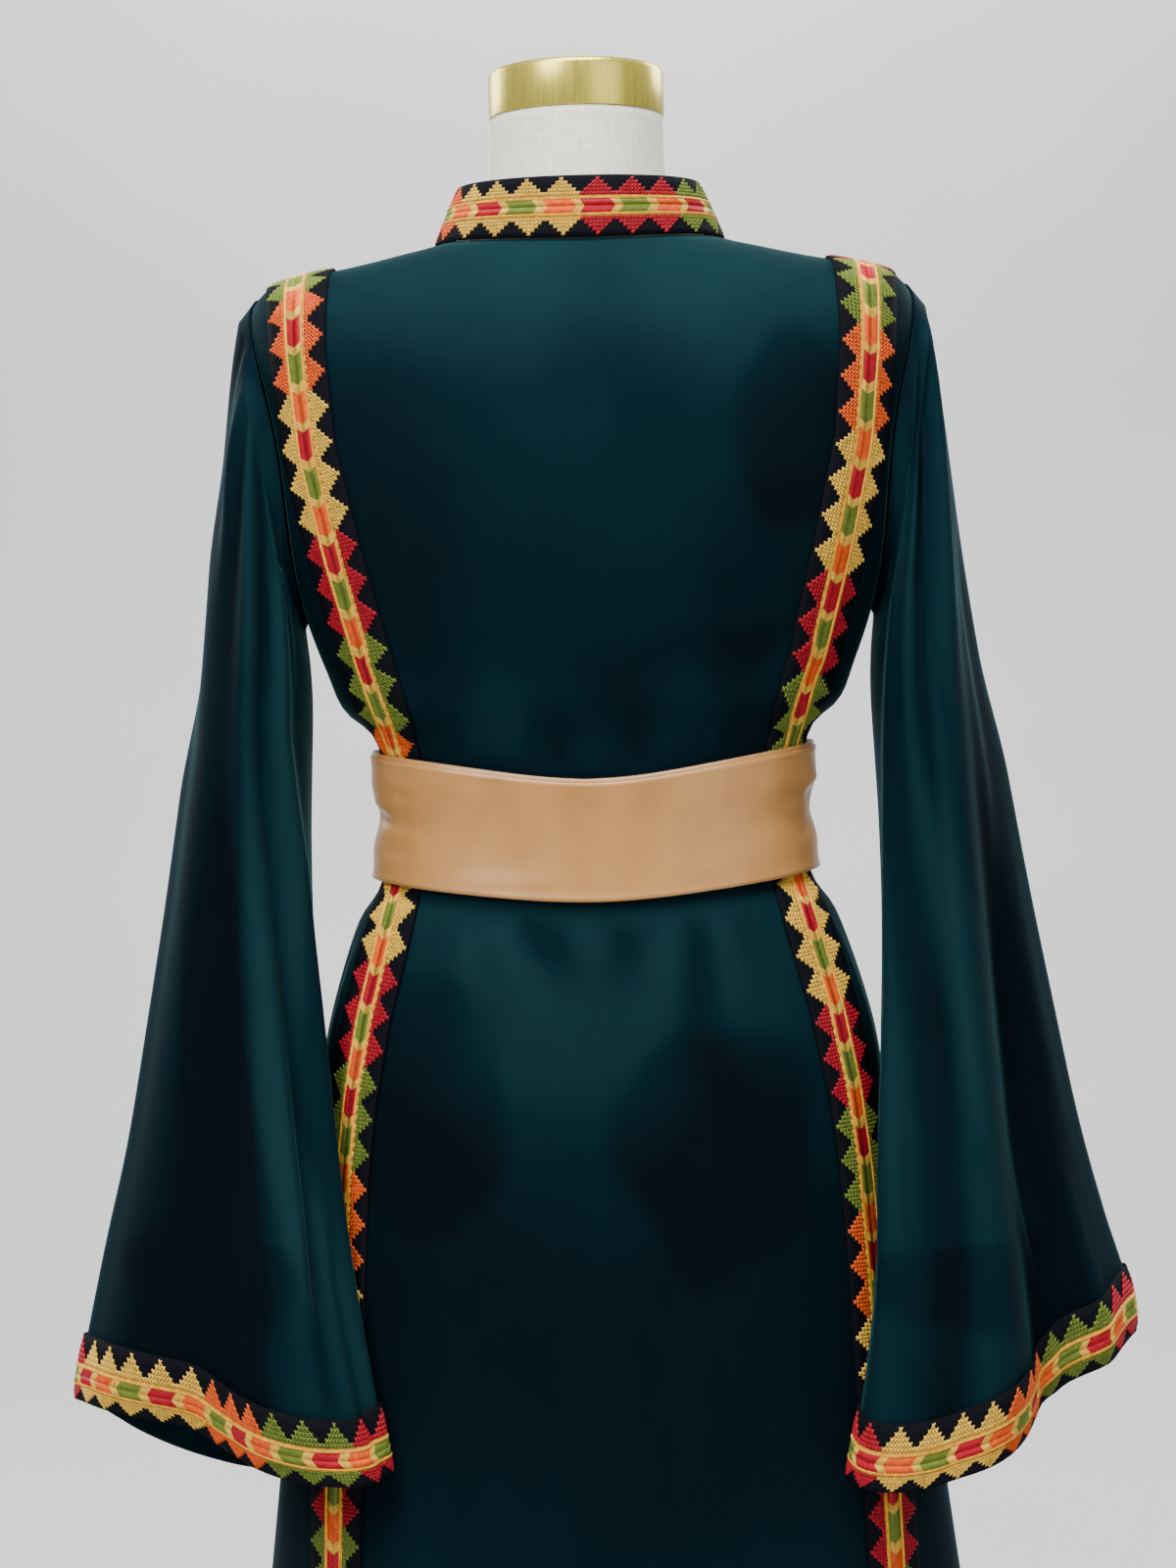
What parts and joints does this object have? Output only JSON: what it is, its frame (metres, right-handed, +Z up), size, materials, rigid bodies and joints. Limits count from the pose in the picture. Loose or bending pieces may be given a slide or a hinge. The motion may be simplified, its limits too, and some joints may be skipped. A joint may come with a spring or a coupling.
{
  "type": "velvet thobe with a satin belt on a limbless dress form and stand",
  "caption": "Long flared velvet robe with wide sleeves, stand collar and embroidered bands, belted, on a limbless dress form with a round base.",
  "frame": {"origin": "on the floor under the middle of the stand's round base", "axes": "+Z up, -Y towards the back of the garment, +X towards the wearer's right side"},
  "size_m": [0.7002, 0.3754, 1.5623],
  "materials": {
    "velvet": "deep teal cut-pile velvet with a soft sheen",
    "tape": "black woven tape with cross-stitch in gold, red, green and orange",
    "satin": "champagne satin with a soft sheen",
    "linen": "off-white linen cover, matt",
    "gold": "polished gilt metal",
    "steel": "satin steel"
  },
  "bodies": {
    "root": {"back_centre": "velvet", "back_side_left": "velvet", "back_side_right": "velvet", "front_centre_left": "velvet", "front_centre_right": "velvet", "front_side_left": "velvet", "front_side_right": "velvet", "sleeve_left": "velvet", "sleeve_right": "velvet", "collar": "tape", "band_back_left": "tape", "band_back_right": "tape", "band_front_left": "tape", "band_front_right": "tape", "cuff_band_left": "tape", "cuff_band_right": "tape", "belt_inner": "satin", "belt_outer": "satin", "form_torso": "linen", "neck_cap": "gold", "stand_pole": "steel", "stand_base": "steel"}
  },
  "joints": []
}
